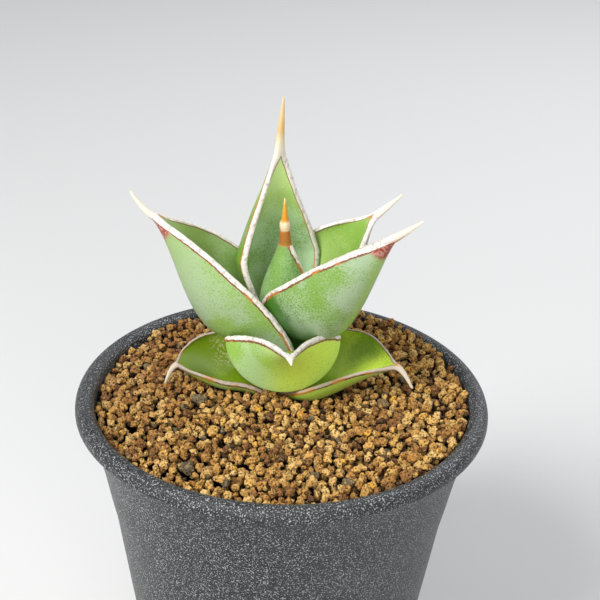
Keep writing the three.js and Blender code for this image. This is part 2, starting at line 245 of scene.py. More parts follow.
# %% A material and its nodes
class Paint:
    def __init__(self, name):
        self.material = bpy.data.materials.new(name)
        self.material.use_nodes = True
        self.tree = self.material.node_tree
        self.shader = self.tree.nodes["Principled BSDF"]

    def node(self, kind, settings=None, sockets=None):
        """A new node, as the list of its enabled outputs."""
        made = self.tree.nodes.new(kind)
        for name, value in (settings or {}).items():
            if name == "stops":
                self.set_stops(made.color_ramp, value)
            else:
                setattr(made, name, value)
        self.feed(made, sockets or {})
        return [Wire(self, out) for out in made.outputs if out.enabled]

    def feed(self, made, sockets):
        usable = [socket for socket in made.inputs if socket.enabled]
        for name, value in sockets.items():
            socket = usable[name] if isinstance(name, int) else next(s for s in usable if s.name == name)
            if isinstance(value, Wire):
                self.tree.links.new(value.socket, socket)
            else:
                socket.default_value = value

    def set_stops(self, ramp, stops):
        while len(ramp.elements) < len(stops):
            ramp.elements.new(0.5)
        for element, (place, color) in zip(ramp.elements, stops):
            element.position = place
            element.color = color

    def attribute(self, name):
        sockets = self.node("ShaderNodeAttribute", {"attribute_name": name})
        return next(wire for wire in sockets if wire.socket.name == "Fac")

    def place(self):
        """Object coordinates, in metres."""
        sockets = self.node("ShaderNodeTexCoord")
        return next(wire for wire in sockets if wire.socket.name == "Object")

    def grain(self, per_mm, detail=2.0, roughness=0.5):
        """Noise from 0 to 1 with so many cells to the millimetre."""
        sockets = {
            "Vector": self.place(), "Scale": per_mm / MM, "Detail": detail, "Roughness": roughness,
        }
        return self.node("ShaderNodeTexNoise", {"normalize": True}, sockets)[0]

    def cells(self, per_mm):
        """Distance to the nearest of scattered points, so many to the millimetre."""
        sockets = {"Vector": self.place(), "Scale": per_mm / MM}
        return self.node("ShaderNodeTexVoronoi", {"feature": "F1"}, sockets)[0]

    def blend(self, share, first, second):
        """first where share is 0, second where it is 1."""
        sockets = {"Factor": share, "A": first, "B": second}
        return self.node("ShaderNodeMix", {"data_type": "RGBA", "clamp_factor": True}, sockets)[0]

    def ramp(self, value, stops):
        return self.node("ShaderNodeValToRGB", {"stops": stops}, {"Fac": value})[0]

    def bump(self, height, depth_mm):
        sockets = {"Height": height, "Distance": depth_mm * MM, "Strength": 1.0}
        return self.node("ShaderNodeBump", None, sockets)[0]

    def finish(self, **sockets):
        self.feed(self.shader, {name.replace("_", " "): value for name, value in sockets.items()})
        return self.material


print("ready-made nodes:", [name for name in vars(Paint) if not name.startswith("_")])


# %% Screen colours
def tint(code):
    """The linear colour of a six-digit screen colour."""
    channels = [int(code[i:i + 2], 16) / 255 for i in (0, 2, 4)]
    linear = [c / 12.92 if c <= 0.04045 else ((c + 0.055) / 1.055) ** 2.4 for c in channels]
    return (*linear, 1.0)


print("a mid green is", [round(c, 3) for c in tint("7aa864")])

# %% [markdown]
# ## Meshes from grids
#
# The pot, the leaves and the granules are all grids of points rolled into tubes. One helper joins
# a grid whose rows close on themselves, another makes the Blender object, rides it on the root
# body and hides the plain solid it stands for.


# %% Mesh helpers
def tube_faces(rows, around):
    """Quads between closed rows of points."""
    low = np.arange(rows - 1)[:, None] * around
    column = np.arange(around)[None]
    ahead = (column + 1) % around
    quads = np.stack([low + column, low + ahead, low + around + ahead, low + around + column], -1)
    return quads.reshape(-1, 4).tolist()


def caps(rows, around):
    """The two faces that close a tube."""
    last = (rows - 1) * around
    return [list(range(around))[::-1], list(range(last, last + around))]


print("a tube of 3 rows and 4 sides:", len(tube_faces(3, 4)), "quads,", len(caps(3, 4)), "caps")


# %% Pieces
def make_piece(name, points_mm, faces, replaced):
    """A smooth object in metres that rides on the root body and stands for a plain solid."""
    mesh = bpy.data.meshes.new(name)
    mesh.from_pydata((np.asarray(points_mm) * MM).tolist(), [], faces)
    mesh.shade_smooth()
    piece = bpy.data.objects.new(name, mesh)
    bpy.context.collection.objects.link(piece)
    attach(piece, "root")
    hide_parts(*replaced)
    return piece


def store(piece, name, values):
    """Writes one number for every point of a piece."""
    layer = piece.data.attributes.new(name, "FLOAT", "POINT")
    layer.data.foreach_set("value", np.asarray(values, dtype=np.float32).ravel())


def triangles(piece):
    return sum(len(face.vertices) - 2 for face in piece.data.polygons)


# %% [markdown]
# ## The pot
#
# The real pot is one injection moulding of charcoal plastic: a wall that leans out, flares under
# the rim and ends in a half-round lip with a small step below it. Its mould was spark-eroded, so
# the skin has a fine sharp grain. A lathe of one outline makes the form. The outline is a smooth
# curve through a few measured radii, and the drain holes are cut by a Boolean.

# %% Pot measures
LIP_RADIUS = 52.35
LIP_HALF_WIDTH = 2.65
LIP_STEP_DROP = 0.7
WALL = 2.0
FOOT_RADIUS = 35.0
FOOT_WIDTH = 4.5
FOOT_HEIGHT = 3.0
FOOT_ROUND = 0.8
FLOOR_TOP = 5.0
FLOOR_ROUND = 1.5
STEP_ROUND = 0.35
POT_SIDES = 192
POT_SHARP = 40
DRAIN_RADIUS = 4.0
DRAIN_RING_RADIUS = 17.0
DRAIN_RING_COUNT = 4
# Radius of the wall's outside and its drop below the middle of the lip
WALL_OUTSIDE = [(FOOT_RADIUS, LIP_Z), (45, 31), (46.3, 25), (48.3, 15), (50.4, 7), (52, 2.4)]
lean = math.degrees(math.atan2(WALL_OUTSIDE[1][0] - FOOT_RADIUS, LIP_Z - WALL_OUTSIDE[1][1]))
print("the wall leans out by", round(lean, 1), "degrees, then flares")


# %% Curves in the outline
def smooth_through(knots, steps):
    """A Catmull-Rom curve through knots, with so many steps between each two."""
    knots = np.array(knots, float)
    padded = np.vstack([2 * knots[0] - knots[1], knots, 2 * knots[-1] - knots[-2]])
    points = []
    for k in range(len(knots) - 1):
        a, b, c, d = padded[k:k + 4]
        for t in np.arange(steps) / steps:
            points.append(0.5 * (2 * b + (c - a) * t + (2 * a - 5 * b + 4 * c - d) * t ** 2
                                 + (3 * b - a - 3 * c + d) * t ** 3))
    return np.array(points + [knots[-1]])


def arc(centre, half_width, half_height, start, end, steps):
    turn = np.radians(np.linspace(start, end, steps))
    return np.stack([centre[0] + half_width * np.cos(turn), centre[1] + half_height * np.sin(turn)], 1)


wall = smooth_through([(radius, LIP_Z - drop) for radius, drop in WALL_OUTSIDE[1:]], 5)
print("the flare has", len(wall), "points and rises", round(wall[-1][1] - wall[0][1], 1), "mm")


# %% Outline of the pot
def pot_outline():
    """Radius and height, up the outside, over the lip, down the inside and in under the floor."""
    slope = (wall[0][0] - FOOT_RADIUS) / wall[0][1]
    straight = [(FOOT_RADIUS + slope * z, z) for z in np.linspace(1.2, wall[0][1], 12)[:-1]]
    foot = arc((FOOT_RADIUS - FOOT_ROUND, FOOT_ROUND), FOOT_ROUND, FOOT_ROUND, -90, 0, 5)
    step_centre = (LIP_RADIUS + LIP_HALF_WIDTH - STEP_ROUND, LIP_Z - LIP_STEP_DROP + STEP_ROUND)
    step = arc(step_centre, STEP_ROUND, STEP_ROUND, -90, 0, 4)
    lip = arc((LIP_RADIUS, LIP_Z), LIP_HALF_WIDTH, LIP_HALF_HEIGHT, 4, 152, 22)
    inner_foot = FLOOR_TOP + FLOOR_ROUND
    inside = np.array([(radius - WALL, z) for radius, z in [*straight, *wall] if z > inner_foot])
    corner = arc((inside[0][0] - 0.2 - FLOOR_ROUND, inner_foot), FLOOR_ROUND, FLOOR_ROUND, 0, -90, 5)
    floor_edge = FOOT_RADIUS - FOOT_WIDTH
    under_step = (wall[-1][0] + 0.2, LIP_Z - LIP_STEP_DROP - 0.25)
    rings = [
        [(floor_edge + 0.4, 0)], foot, straight, wall, [under_step], step, lip, inside[::-1], corner,
    ]
    under = [(floor_edge - 0.4, FOOT_HEIGHT), (floor_edge, FOOT_HEIGHT - 0.4), (floor_edge, 0.4)]
    return np.vstack(rings), np.array(under)


def turn_outline(outline, sides):
    """The points of an outline at every side of the lathe."""
    turn = np.arange(sides) / sides * 2 * np.pi
    x = outline[:, :1] * np.cos(turn)
    y = outline[:, :1] * np.sin(turn)
    z = np.repeat(outline[:, 1:], sides, 1)
    return np.stack([x, y, z], -1).reshape(-1, 3)


upper, under = pot_outline()
print("outline:", len(upper) + len(under), "points, widest", round(upper[:, 0].max(), 2), "mm from the axis")


# %% Drain holes
def drain_places():
    turns = (np.arange(DRAIN_RING_COUNT) + 0.5) * 2 * np.pi / DRAIN_RING_COUNT
    ring = [(DRAIN_RING_RADIUS * math.cos(t), DRAIN_RING_RADIUS * math.sin(t)) for t in turns]
    return [(0.0, 0.0), *ring]


def drain_cutter():
    mesh = bpy.data.meshes.new("drain")
    form = bmesh.new()
    for x, y in drain_places():
        place = Matrix.Translation((x * MM, y * MM, 0))
        bmesh.ops.create_cone(form, cap_ends=True, segments=32, radius1=DRAIN_RADIUS * MM,
                              radius2=DRAIN_RADIUS * MM, depth=3 * FLOOR_TOP * MM, matrix=place)
    form.to_mesh(mesh)
    form.free()
    return mesh


print("drain holes at", [(round(x, 1), round(y, 1)) for x, y in drain_places()])


# %% Turn and drill the pot
def subtract(piece, mesh):
    """Cuts a mesh out of a piece, and drops the empty material slot that this leaves."""
    cutter = bpy.data.objects.new("cutter", mesh)
    bpy.context.collection.objects.link(cutter)
    change = piece.modifiers.new("cut", "BOOLEAN")
    change.object = cutter
    change.operation = "DIFFERENCE"
    change.solver = "MANIFOLD"
    with bpy.context.temp_override(object=piece, active_object=piece):
        bpy.ops.object.modifier_apply(modifier=change.name)
    bpy.data.objects.remove(cutter)
    piece.data.materials.clear()


def make_pot():
    rings = np.vstack([under, upper])
    points = turn_outline(rings, POT_SIDES)
    faces = tube_faces(len(rings), POT_SIDES) + caps(len(rings), POT_SIDES)
    pot = make_piece("pot_shell", points, faces, ["pot"])
    subtract(pot, drain_cutter())
    pot.data.shade_smooth()
    pot.data.set_sharp_from_angle(angle=math.radians(POT_SHARP))
    return pot


pot = make_pot()
print("pot:", triangles(pot), "triangles")

# %% [markdown]
# ## Pot finish
#
# The grain of a spark-eroded mould shows as tiny bright facets on a dark, softly shining plastic.
# They are far too small to model. One fine noise does three things instead: it mixes the greys and
# paints the facets' glints in as near-white specks, it roughens the gloss and it drives a shallow
# bump. A slow noise keeps the gloss from being even.

# %% Pot finish
CHARCOAL = tint("131416")
CHARCOAL_LIGHT = tint("282b2e")
# Painted glint of the grain's tiny facets
CHARCOAL_GLINT = tint("d0d4d6")


def pot_finish():
    paint = Paint("spark_grain_plastic")
    fine = paint.grain(2.6, detail=2.0, roughness=0.6)
    coarse = paint.grain(0.05, detail=2.0)
    color = paint.blend(fine.step(0.4, 0.64) * 0.85, CHARCOAL, CHARCOAL_LIGHT)
    # Painted glints: near-white specks where the fine noise is highest
    color = paint.blend(fine.step(0.55, 0.66) * 0.56, color, CHARCOAL_GLINT)
    return paint.finish(
        Base_Color=color,
        Roughness=0.25 + 0.1 * coarse + 0.18 * fine,
        Normal=paint.bump(fine, 0.3),
    )


pot.data.materials.append(pot_finish())
print("pot finish:", pot.data.materials[0].name, "with", len(pot.data.materials[0].node_tree.nodes), "nodes")

# %% [markdown]
# ## The leaves
#
# Each leaf is one thick horn: round and keeled outside, hollow along the face that looks to the
# middle of the rosette, with a dry white margin on both edges that runs up into the spine. A
# crescent is swept along a bent line. The line starts steeply where the leaf clasps the stem and
# leans out further up. The numbers are those of the plain solids, except that leaf_front stands a
# little nearer to the viewer and the two lowest leaves have thinner margins. A sweep in code is used
# rather than a curve with a bevel, because the section changes all the way, and because each point
# can then remember how far it is from the margin, which the finish needs.

# %% Measures that all leaves share
MARGIN = 1.4
MARGIN_CROWN = 0.3
CLOSED_MARGIN = 0.25
SPINE_TIP_RADIUS = 0.12
SPINE_FLATNESS = 0.55
SPINE_TAPER = 0.7
BLADE_ROWS = 120
SPINE_ROWS = 26
OUTER_POINTS = 44
BAND_POINTS = 5
INNER_POINTS = 30
LEAF_SHARP = 50
around = OUTER_POINTS + 1 + INNER_POINTS + 1 + 2 * BAND_POINTS
print("each leaf:", BLADE_ROWS + 1 + SPINE_ROWS, "rows of", around, "points")

# %% Measures of each leaf
# Oldest first. base is in millimetres, with its height from the middle of the lip. azimuth and
# swing are the way it grows and how far it turns, rise how steeply it climbs at the stem, low on
# the blade and at its end. half_width and keel are at the stem and at the widest place. sheath is
# the share of the length that clasps the stem, channel how hollow the inner face is.
LEAVES = [
    dict(
        name="leaf_low_right", base=(1, 14.5, -1), azimuth=-23, swing=-12, rise=(60, 39, 2),
        sheath=0.29, length=37, spine=7, pitch=-45, neck=1.1, half_width=(11.5, 15.3), keel=(6.5, 8),
        widest=0.38, shoulder=1.7, taper=1.3, roll=9, channel=0.6, margin=0.95,
    ),
    dict(
        name="leaf_low_left", base=(0.5, 14, -1), azimuth=185, swing=20, rise=(60, 30, -6),
        sheath=0.29, length=32.5, spine=6.3, pitch=-51, neck=1.0, half_width=(12.5, 10.2), keel=(6, 7),
        widest=0.55, shoulder=1.9, taper=0.92, roll=-16.5, channel=0.6, margin=0.95,
    ),
    dict(
        name="leaf_front", base=(-1.2, 14.6, 2.7), azimuth=-85, swing=0, rise=(80, 63, -3),
        sheath=0.4, length=43.5, spine=2.7, pitch=-2, neck=0.9, half_width=(12, 15.4), keel=(8.8, 14.7),
        widest=0.43, shoulder=1.2, taper=1.35, roll=0, channel=0.6,
    ),
    dict(
        name="leaf_back_right", base=(0.6, 17.6, 5.6), azimuth=26, swing=-6, rise=(90, 81, 30),
        sheath=0.3, length=47, spine=9.3, pitch=3.5, neck=1.35, half_width=(8, 14.3), keel=(8, 11),
        widest=0.54, shoulder=1.6, taper=1.45, roll=11, channel=0.6,
    ),
    dict(
        name="leaf_left", base=(4.8, 13.6, 4.2), azimuth=178.3, swing=7.7, rise=(90, 61.2, 25.9),
        sheath=0.48, length=61.9, spine=9.1, pitch=22.3, neck=1.3, half_width=(12.8, 12.5), keel=(9, 18.6),
        widest=0.46, shoulder=1.92, taper=1.28, roll=0, channel=0.55,
    ),
    dict(
        name="leaf_right", base=(-3.9, 16.2, 5.9), azimuth=-44, swing=-12, rise=(108, 43.5, 33),
        sheath=0.51, length=74.5, spine=14, pitch=5, neck=1.4, half_width=(5.5, 10.4), keel=(11, 17.9),
        widest=0.47, shoulder=1.4, taper=1.17, roll=6, channel=0.55,
    ),
    dict(
        name="leaf_back", base=(1, 16.4, 9.3), azimuth=114, swing=-13, rise=(90, 59, 91),
        sheath=0.29, length=53.5, spine=16.3, pitch=10, neck=1.5, half_width=(6.2, 12.8), keel=(7, 11.5),
        widest=0.44, shoulder=1.2, taper=1.3, roll=18, channel=0.5,
    ),
    dict(
        name="leaf_spear", base=(1.8, 15.3, 9), azimuth=-120, swing=0, rise=(90, 83.5, 80.5),
        sheath=0.3, length=33.5, spine=12.4, pitch=4, neck=1.6, half_width=(4, 8.1), keel=(4, 8.3),
        widest=0.42, shoulder=1.55, taper=1.24, roll=-2, channel=0.2,
    ),
]
print(len(LEAVES), "leaves, the longest", max(leaf["length"] for leaf in LEAVES), "mm")


# %% Leaf line
def direction(climb, turn):
    level = np.cos(climb)
    return np.stack([level * np.cos(turn), level * np.sin(turn), np.sin(climb)], -1)


def blade_line(leaf):
    """Share, middle, side, face and along at each row. Side and face are square to along."""
    share = np.linspace(0, 1, BLADE_ROWS + 1)
    foot, low, end = leaf["rise"]
    clasp = np.clip(1 - share / leaf["sheath"], 0, 1)
    climb = np.radians(low + (end - low) * share + (foot - low) * clasp ** 2)
    turn = np.radians(leaf["azimuth"] + leaf["swing"] * share)
    along = direction(climb, turn)
    steps = (along[1:] + along[:-1]) / 2 * leaf["length"] / BLADE_ROWS
    start = np.array([leaf["base"][0], leaf["base"][1], LIP_Z + leaf["base"][2]])
    middle = np.vstack([start, start + np.cumsum(steps, 0)])
    level_side = np.stack([-np.sin(turn), np.cos(turn), 0 * turn], -1)
    level_face = np.cross(along, level_side)
    roll = math.radians(leaf["roll"])
    side = level_side * math.cos(roll) + level_face * math.sin(roll)
    face = level_face * math.cos(roll) - level_side * math.sin(roll)
    return share, middle, side, face, along


heights = {leaf["name"]: round(float(blade_line(leaf)[1][-1, 2])) for leaf in LEAVES}
print("blades end at these heights in mm:", heights)


# %% Spine line
def spine_line(leaf, middle, side, along):
    """The same as blade_line for the spine, which bends from the blade's end to its own point."""
    climb = math.radians(leaf["rise"][2] + leaf["pitch"])
    turn = math.radians(leaf["azimuth"] + leaf["swing"])
    point = middle + direction(climb, turn) * leaf["spine"]
    bow = middle + along * leaf["spine"] * 0.3
    t = (np.arange(1, SPINE_ROWS + 1) / SPINE_ROWS)[:, None]
    line = (1 - t) ** 2 * middle + 2 * t * (1 - t) * bow + t ** 2 * point
    ahead = (1 - t) * (bow - middle) + t * (point - bow)
    ahead /= np.linalg.norm(ahead, axis=1, keepdims=True)
    across = side - ahead * (ahead @ side)[:, None]
    across /= np.linalg.norm(across, axis=1, keepdims=True)
    return t[:, 0], line, across, np.cross(ahead, across), ahead


print("spines in mm:", {leaf["name"]: leaf["spine"] for leaf in LEAVES})


# %% Swelling of the blade
def swell(leaf, key, share):
    """Half width or keel depth along the blade, down to the radius of the spine's neck."""
    at_foot, at_widest = leaf[key]
    rise = np.clip(share / leaf["widest"], 0, 1)
    rest = np.clip((share - leaf["widest"]) / (1 - leaf["widest"]), 0, 1)
    lower = at_foot + (at_widest - at_foot) * rise ** 2 * (3 - 2 * rise)
    upper = leaf["neck"] + (at_widest - leaf["neck"]) * (1 - rest ** leaf["shoulder"]) ** leaf["taper"]
    return np.where(share < leaf["widest"], lower, upper)


quarter_points = np.linspace(0, 1, 5)
print("half width of leaf_front at its quarters:", swell(LEAVES[2], "half_width", quarter_points).round(1))

# %% [markdown]
# A dry margin is never even: it waves, it has shrunk and torn in places, and small flakes stand
# off it. Slow noise along the leaf shifts the whole edge, and quick noise chips the band.


# %% The uneven margin
CORD_HEIGHT = 0.14
CORD_REACH = 0.7
BAND_ARCH = 0.2
# Size and length in millimetres of the margin's slow wave, quick wave and chips
SLOW_WAVE = (0.16, 8)
QUICK_WAVE = (0.07, 1.7)
CHIP = (0.07, 0.8)
# Shares of the spear's spine and its radii there: it swells where its dry sheath has split
SPEAR_SPINE = ((0, 0.4, 0.46, 0.54, 0.6, 1), (1.6, 1.4, 1.5, 1.35, 0.95, 0.14))


def waver(length_mm, cell_mm, seed):
    """Smooth noise from about -1 to 1 along a line."""
    return np.array([noise.noise(Vector((s / cell_mm, seed, 0.37 * seed))) for s in length_mm]) * 2


def margin_waves(run, blade, seed):
    """How far the two edges of a leaf are shifted at each row, in millimetres."""
    (slow, slow_mm), (quick, quick_mm) = SLOW_WAVE, QUICK_WAVE
    return [blade * (slow * waver(run, slow_mm, seed + k) + quick * waver(run, quick_mm, seed + k + 5))
            for k in (0, 1)]


print("a margin's first waves:", waver(np.arange(0, 40, 8), SLOW_WAVE[1], 10.0).round(2))


# %% Rows of a leaf
def spine_radius(leaf, tip_share):
    if leaf["name"] == "leaf_spear":
        return np.interp(tip_share, *SPEAR_SPINE)
    return SPINE_TIP_RADIUS + (leaf["neck"] - SPINE_TIP_RADIUS) * (1 - tip_share) ** SPINE_TAPER


def leaf_rows(leaf, seed):
    """Everything that changes from row to row, up the blade and on to the point of the spine."""
    share, middle, side, face, along = blade_line(leaf)
    tip_share, *tip_line = spine_line(leaf, middle[-1], side[-1], along[-1])
    keel = swell(leaf, "keel", share)
    closing = np.clip((share - 0.5) / 0.5, 0, 1) ** 3
    crown = MARGIN_CROWN - SPINE_FLATNESS * leaf["neck"]
    hollow = leaf["channel"] * keel * (1 - closing) + crown * closing
    margin = leaf.get("margin", MARGIN) * (1 - closing) + CLOSED_MARGIN * closing
    radius = spine_radius(leaf, tip_share)
    flatness = SPINE_FLATNESS + (1 - SPINE_FLATNESS) * tip_share
    run = np.concatenate([share * leaf["length"], leaf["length"] + tip_share * leaf["spine"]])
    rows = {
        "middle": np.vstack([middle, tip_line[0]]),
        "side": np.vstack([side, tip_line[1]]),
        "face": np.vstack([face, tip_line[2]]),
        "half_width": np.concatenate([swell(leaf, "half_width", share), radius]),
        "keel": np.concatenate([keel, radius]),
        "hollow": np.concatenate([hollow, MARGIN_CROWN - radius * flatness]),
        "margin": np.concatenate([margin, CLOSED_MARGIN * radius / leaf["neck"]]),
        "reach": np.concatenate([share, 1 + tip_share]),
    }
    blade = rows["blade"] = np.clip((1.02 - rows["reach"]) / 0.12, 0, 1)
    rows["wave"] = margin_waves(run, blade, seed)
    rows["chip"] = [blade * CHIP[0] * waver(run, CHIP[1], seed + k + 9) for k in (0, 1)]
    return rows


print("the deepest keel of leaf_right:", leaf_rows(LEAVES[5], 0.0)["keel"].max().round(1), "mm")


# %% Outer face, margin and inner face
def bunched(count):
    """Shares from -1 to 1 that lie closer together towards both ends."""
    share = np.linspace(-1, 1, count + 1)
    return share * (1.5 - 0.5 * share ** 2)


def from_ends(across, up):
    """Distance in millimetres, along a row of points, to the nearer end of the row."""
    step = np.hypot(np.diff(across, axis=1), np.diff(up, axis=1))
    run = np.hstack([np.zeros((len(across), 1)), np.cumsum(step, 1)])
    return np.minimum(run, run[:, -1:] - run)


def outer_face(half_width, keel, blade):
    """Across, up and distance from the margin. The margin's cord stands a little proud of it."""
    turn = np.radians(90 * bunched(OUTER_POINTS))[None]
    across, up = half_width * np.sin(turn), -keel * np.cos(turn)
    off = from_ends(across, up)
    proud = CORD_HEIGHT * blade * np.sqrt(np.clip(1 - (off / CORD_REACH) ** 2, 0, 1))
    size = np.hypot(keel * np.sin(turn), half_width * np.cos(turn)) + 1e-6
    across = across + proud * keel * np.sin(turn) / size
    up = up - proud * half_width * np.cos(turn) / size
    return across, up, off


def inner_face(half_width, hollow, margin):
    turn = np.radians(-90 * bunched(INNER_POINTS))[None]
    across, up = (half_width - margin) * np.sin(turn), MARGIN_CROWN - hollow * np.cos(turn)
    return across, up, from_ends(across, up)


def margin_band(sign, half_width, margin, blade, chip):
    """Across, up and distance on one of the two bands, where distances count below nought."""
    t = np.linspace(0, 1, BAND_POINTS + 2)[None, 1:-1]
    arch = np.sin(np.pi * t)
    across = sign * (half_width - margin * t + CORD_HEIGHT * blade * (1 - t))
    up = MARGIN_CROWN * t + BAND_ARCH * margin * arch + chip[:, None] * arch
    return across, up, -2 * t * (1 - t) * margin


print("points of the outer face lie at", bunched(6).round(2))


# %% Section of a leaf
def leaf_section(rows):
    """Points of every row, and their distance from the band, share of inner face and place across."""
    half_width, keel, hollow, margin, blade = (
        np.asarray(rows[key])[:, None] for key in ("half_width", "keel", "hollow", "margin", "blade"))
    outer = outer_face(half_width, keel, blade)
    inner = inner_face(half_width, hollow, margin)
    near, far = (margin_band(sign, half_width, margin, blade, chip)
                 for sign, chip in ((1, rows["chip"][0]), (-1, rows["chip"][1])))
    across, up, off = (
        np.hstack([outer[k], near[k], inner[k], far[k][:, ::-1]]) for k in range(3))
    band = np.repeat(np.linspace(0, 1, BAND_POINTS + 2)[None, 1:-1], len(half_width), 0)
    inside = np.hstack([0 * outer[2], band, 0 * inner[2] + 1, band[:, ::-1]])
    share = np.clip(across / half_width, -1, 1)
    edge = np.clip((np.abs(share) - 0.55) / 0.45, 0, 1) ** 2
    shift = edge * np.where(share > 0, rows["wave"][0][:, None], rows["wave"][1][:, None])
    points = rows["middle"][:, None] + rows["face"][:, None] * (up + shift)[..., None]
    points = points + rows["side"][:, None] * (across + 0.4 * shift * np.sign(share))[..., None]
    return points, off, inside, across


print("a row of leaf_left spans", np.ptp(leaf_section(leaf_rows(LEAVES[4], 0.0))[3][60]).round(1), "mm")


# %% Make the leaves
def make_leaf(leaf, seed):
    rows = leaf_rows(leaf, seed)
    points, off, inside, across = leaf_section(rows)
    faces = tube_faces(*off.shape) + caps(*off.shape)
    piece = make_piece(leaf["name"] + "_skin", points.reshape(-1, 3), faces, [leaf["name"]])
    store(piece, "off_margin", off)
    store(piece, "inside", inside)
    store(piece, "reach", np.repeat(rows["reach"][:, None], off.shape[1], 1))
    store(piece, "across", across)
    return piece


leaf_skins = {leaf["name"]: make_leaf(leaf, 10.0 + 3.1 * k) for k, leaf in enumerate(LEAVES)}
print("leaves:", {name: triangles(skin) for name, skin in leaf_skins.items()})

# %% [markdown]
# Leaves clasp each other: an older leaf wraps a younger one and takes its shape where they touch.
# A Boolean difference takes the younger leaves out of each older one, as the plain solids do, and
# any scrap that this leaves loose is dropped. A Boolean gives new points no memory, so every point
# asks the nearest point of the leaf as it was.


# %% Loose scraps
def drop_scraps(piece):
    """Keeps the largest connected body of a mesh."""
    form = bmesh.new()
    form.from_mesh(piece.data)
    form.faces.ensure_lookup_table()
    seen = set()
    bodies = []
    for face in form.faces:
        if face.index in seen:
            continue
        body, front = [], [face]
        seen.add(face.index)
        while front:
            here = front.pop()
            body.append(here)
            for edge in here.edges:
                for other in edge.link_faces:
                    if other.index not in seen:
                        seen.add(other.index)
                        front.append(other)
        bodies.append(body)
    bodies.sort(key=len)
    loose = [face for body in bodies[:-1] for face in body]
    bmesh.ops.delete(form, geom=loose, context="FACES")
    form.to_mesh(piece.data)
    form.free()
    return len(bodies) - 1


print("faces before any cut:", sum(len(skin.data.polygons) for skin in leaf_skins.values()))

# %% What a cut leaf remembers
MEMORIES = ("off_margin", "inside", "reach", "across")


def remember(piece, old_points, old_values):
    """Gives each point the stored values of the nearest point of the mesh before it was cut."""
    tree = KDTree(len(old_points))
    for index, point in enumerate(old_points):
        tree.insert(point, index)
    tree.balance()
    nearest = [tree.find(vertex.co)[1] for vertex in piece.data.vertices]
    for name, values in old_values.items():
        layer = piece.data.attributes.get(name)
        if layer:
            piece.data.attributes.remove(layer)
        store(piece, name, values[nearest])


def stored(piece, name):
    values = np.empty(len(piece.data.vertices), np.float32)
    piece.data.attributes[name].data.foreach_get("value", values)
    return values


print("farthest from a margin:", round(float(stored(leaf_skins["leaf_left"], "off_margin").max()), 1), "mm")


# %% Clasping leaves
def clasp(piece, younger):
    old_points = [vertex.co.copy() for vertex in piece.data.vertices]
    old_values = {name: stored(piece, name) for name in MEMORIES}
    for other in younger:
        subtract(piece, other)
    scraps = drop_scraps(piece)
    remember(piece, old_points, old_values)
    piece.data.shade_smooth()
    piece.data.set_sharp_from_angle(angle=math.radians(LEAF_SHARP))
    return scraps


uncut = {leaf["name"]: leaf_skins[leaf["name"]].data.copy() for leaf in LEAVES}
for k, leaf in enumerate(LEAVES):
    scraps = clasp(leaf_skins[leaf["name"]], [uncut[other["name"]] for other in LEAVES[k + 1:]])
    print(leaf["name"], triangles(leaf_skins[leaf["name"]]), "triangles,", scraps, "scraps dropped")
for mesh in uncut.values():
    bpy.data.meshes.remove(mesh)

# %% [markdown]
# ## Leaf finish
#
# A pale waxy bloom covers the outer faces in clouds that break up into specks where it has been
# rubbed off. The inner faces are barer and greener. Each margin is a dried, whitish cord with a thin
# red-brown line under it, rusty in stretches, and the spine is horn. Painting this by hand would
# take a picture; here every point of the mesh already knows how far it is from the margin and how
# far along the leaf it lies, so masks built from those two numbers and noise do the same.

# %% Leaf colours
DRY_GREY = tint("a39a90")
DRY_FLECK = tint("5d5650")
RED_BROWN = tint("7a3826")
RUST = tint("b8702a")
HORN_TAN = tint("c99a62")
PATCH_RED = tint("8c3c22")
PATCH_PINK = tint("b58276")
RIM_GREEN = tint("96bd4c")
# Painted light on the lit side of the front leaf
PAINTED_LIGHT_GREEN = tint("d2f05c")
SCAR = tint("a3a478")

print("the red line is", [round(c, 2) for c in RED_BROWN[:3]], "and rust", [round(c, 2) for c in RUST[:3]])

# %% Colours along the spine
PALE_HORN = [(0.0, tint("dfd5c8")), (0.5, tint("e4dac8")), (1.0, tint("eadfc4"))]
DULL_HORN = [(0.0, tint("b3a696")), (0.5, tint("c2b6a4")), (1.0, tint("d6ccb8"))]
GOLD_HORN = [(0.0, tint("ddd2c2")), (0.25, tint("dfd0b0")), (0.5, tint("dcb274")), (1.0, tint("e8cc98"))]
FLAKED_HORN = [
    (0.0, tint("a06a28")), (0.34, tint("a9651f")), (0.4, tint("d8c09c")), (0.55, tint("dcc8a4")),
    (0.6, tint("cf8a16")), (0.9, tint("d69a34")), (1.0, tint("e6cf96")),
]
# Reach at which the horn's colour begins and is full, and at which nothing but horn is left
LATE_HORN = dict(horn_begins=(0.99, 1.06), all_horn=(1.3, 1.6))
EARLY_HORN = dict(horn_begins=(0.965, 0.98), all_horn=(0.965, 0.98))
print("the flaked spine of the youngest leaf has", len(FLAKED_HORN), "stops")


# %% Looks of the eight leaves
def look(bloom, pale, fresh, deep, face, face_pale, base=0.42, patch=0.0, rust=0.3, horn=PALE_HORN,
         dry="e2dbd2", cord=0.65, rim=0.6, tip=None, glow=0.0, scar=0.0, line=0.0):
    """How one leaf is coloured.

    bloom is the amount of bloom, base how far up the deep green reaches, patch the red flush below
    the spine, rust the share of the margin that is rusty, cord the margin's extra width, rim the
    fresh green along the keel, glow the amount of painted light on the leaf's lit side, scar the worn spot on
    the inner face, and line the extra width of the red-brown line.
    """
    ends = LATE_HORN if horn in (PALE_HORN, DULL_HORN) else EARLY_HORN
    return dict(bloom=bloom, pale=tint(pale), fresh=tint(fresh), deep=tint(deep), face=tint(face),
                face_pale=tint(face_pale), base=base, patch=patch, rust=rust, horn=horn, dry=tint(dry),
                cord=cord, rim=rim, tip=tip and tint(tip), glow=glow, scar=scar, line=line, **ends)


